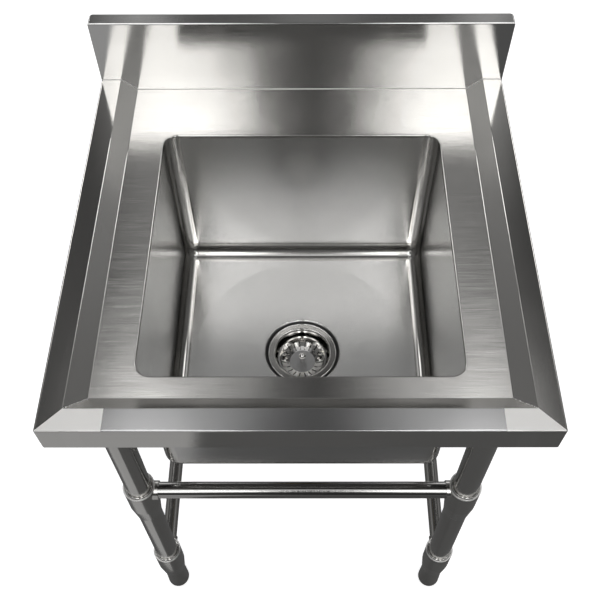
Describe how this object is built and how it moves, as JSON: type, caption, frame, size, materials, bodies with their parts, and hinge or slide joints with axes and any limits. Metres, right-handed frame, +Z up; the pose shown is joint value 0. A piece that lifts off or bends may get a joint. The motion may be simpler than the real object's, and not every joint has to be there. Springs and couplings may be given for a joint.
{
  "type": "utility laundry sink",
  "caption": "Free-standing stainless steel utility sink: square bowl in a raised-edge top with a backsplash, on tube legs with rails and levelling feet.",
  "frame": {"origin": "on the floor, under the middle of the sink", "axes": "+X to the user's right, +Y from the front edge to the wall behind, +Z up"},
  "size_m": [0.6, 0.6, 0.9],
  "materials": {
    "brushed_stainless": "satin, grain along the width",
    "stainless_frame": "mill",
    "stainless_tube": "satin, grain along the tube",
    "stainless_casting": "satin",
    "polished_tube": "polished",
    "polished_stainless": "polished stainless steel",
    "plated_steel": "zinc plated",
    "brass_nut": "cast",
    "fibre": "matte",
    "black_rubber": "matte"
  },
  "bodies": {
    "frame": {"deck_top": "brushed_stainless", "backsplash": "brushed_stainless", "bowl": "brushed_stainless", "channel_left": "stainless_frame", "channel_right": "stainless_frame", "leg_socket_front_left": "stainless_frame", "leg_socket_front_right": "stainless_frame", "leg_socket_rear_left": "stainless_frame", "leg_socket_rear_right": "stainless_frame", "socket_screws": "plated_steel", "leg_front_left": "stainless_tube", "leg_front_right": "stainless_tube", "leg_rear_left": "stainless_tube", "leg_rear_right": "stainless_tube", "upper_collar_front_left": "stainless_casting", "upper_collar_front_right": "stainless_casting", "upper_collar_rear_left": "stainless_casting", "upper_collar_rear_right": "stainless_casting", "lower_collar_front_left": "stainless_casting", "lower_collar_front_right": "stainless_casting", "lower_collar_rear_left": "stainless_casting", "lower_collar_rear_right": "stainless_casting", "upper_collar_screws": "plated_steel", "lower_collar_screws": "plated_steel", "front_rail": "polished_tube", "rear_rail": "polished_tube", "left_rail": "polished_tube", "right_rail": "polished_tube", "foot_insert_front_left": "plated_steel", "foot_insert_front_right": "plated_steel", "foot_insert_rear_left": "plated_steel", "foot_insert_rear_right": "plated_steel", "strainer_body": "polished_stainless", "flange_seal": "black_rubber", "body_gasket": "black_rubber", "friction_washer": "fibre", "strainer_locknut": "brass_nut"},
    "basket": {"basket_shell": "polished_stainless", "basket_post": "polished_stainless", "basket_seal": "black_rubber", "basket_nut": "plated_steel"},
    "foot_front_left": {"foot_front_left": "stainless_casting"},
    "foot_front_right": {"foot_front_right": "stainless_casting"},
    "foot_rear_left": {"foot_rear_left": "stainless_casting"},
    "foot_rear_right": {"foot_rear_right": "stainless_casting"}
  },
  "joints": [
    {"name": "basket_lift", "type": "slide", "parent": "frame", "child": "basket", "axis": [0, 0, 1], "range_m": [0, 0.08]},
    {"name": "foot_front_left_thread", "type": "slide", "parent": "frame", "child": "foot_front_left", "axis": [0, 0, -1], "range_m": [0, 0.025]},
    {"name": "foot_front_right_thread", "type": "slide", "parent": "frame", "child": "foot_front_right", "axis": [0, 0, -1], "range_m": [0, 0.025]},
    {"name": "foot_rear_left_thread", "type": "slide", "parent": "frame", "child": "foot_rear_left", "axis": [0, 0, -1], "range_m": [0, 0.025]},
    {"name": "foot_rear_right_thread", "type": "slide", "parent": "frame", "child": "foot_rear_right", "axis": [0, 0, -1], "range_m": [0, 0.025]}
  ]
}
